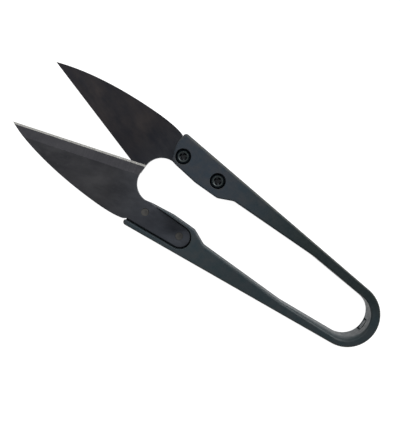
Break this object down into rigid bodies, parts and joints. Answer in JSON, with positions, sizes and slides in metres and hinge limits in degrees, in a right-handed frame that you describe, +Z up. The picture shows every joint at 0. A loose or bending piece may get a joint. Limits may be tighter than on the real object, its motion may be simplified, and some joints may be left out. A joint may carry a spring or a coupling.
{
  "type": "thread snips",
  "caption": "U-shaped spring thread snips: a moulded squeeze handle with a screwed-on straight-edged pointed blade at the end of each arm.",
  "frame": {"origin": "centre of the bounding box's bottom, on the surface that the snips lie on", "axes": "+X from the blade tips to the bow, +Y towards the finger arm, +Z up out of the flat side"},
  "size_m": [0.1068, 0.0282, 0.009],
  "materials": {
    "handle": "satin dark slate moulded plastic",
    "blade": "blackened steel with a bright ground edge",
    "screw": "black oxide steel"
  },
  "bodies": {
    "handle_bow": {"spring_bow": "handle"},
    "finger_side": {"finger_arm": "handle", "finger_blade": "blade", "finger_screw_front": "screw", "finger_screw_rear": "screw"},
    "thumb_side": {"thumb_arm": "handle", "thumb_blade": "blade", "thumb_screw_front": "screw", "thumb_screw_rear": "screw"}
  },
  "joints": [
    {"name": "finger_arm_flex", "type": "hinge", "parent": "handle_bow", "child": "finger_side", "pos_m": [0.0426, 0.00734, 0.0045], "axis": [0, 0, 1], "range_deg": [0, 5.8], "stiffness_Nm_per_rad": 2.5},
    {"name": "thumb_arm_flex", "type": "hinge", "parent": "handle_bow", "child": "thumb_side", "pos_m": [0.0426, -0.00734, 0.0045], "axis": [0, 0, -1], "range_deg": [0, 5.8], "stiffness_Nm_per_rad": 2.5}
  ],
  "couplings": [
    {"joint": "thumb_arm_flex", "follows": "finger_arm_flex", "ratio": 1}
  ]
}
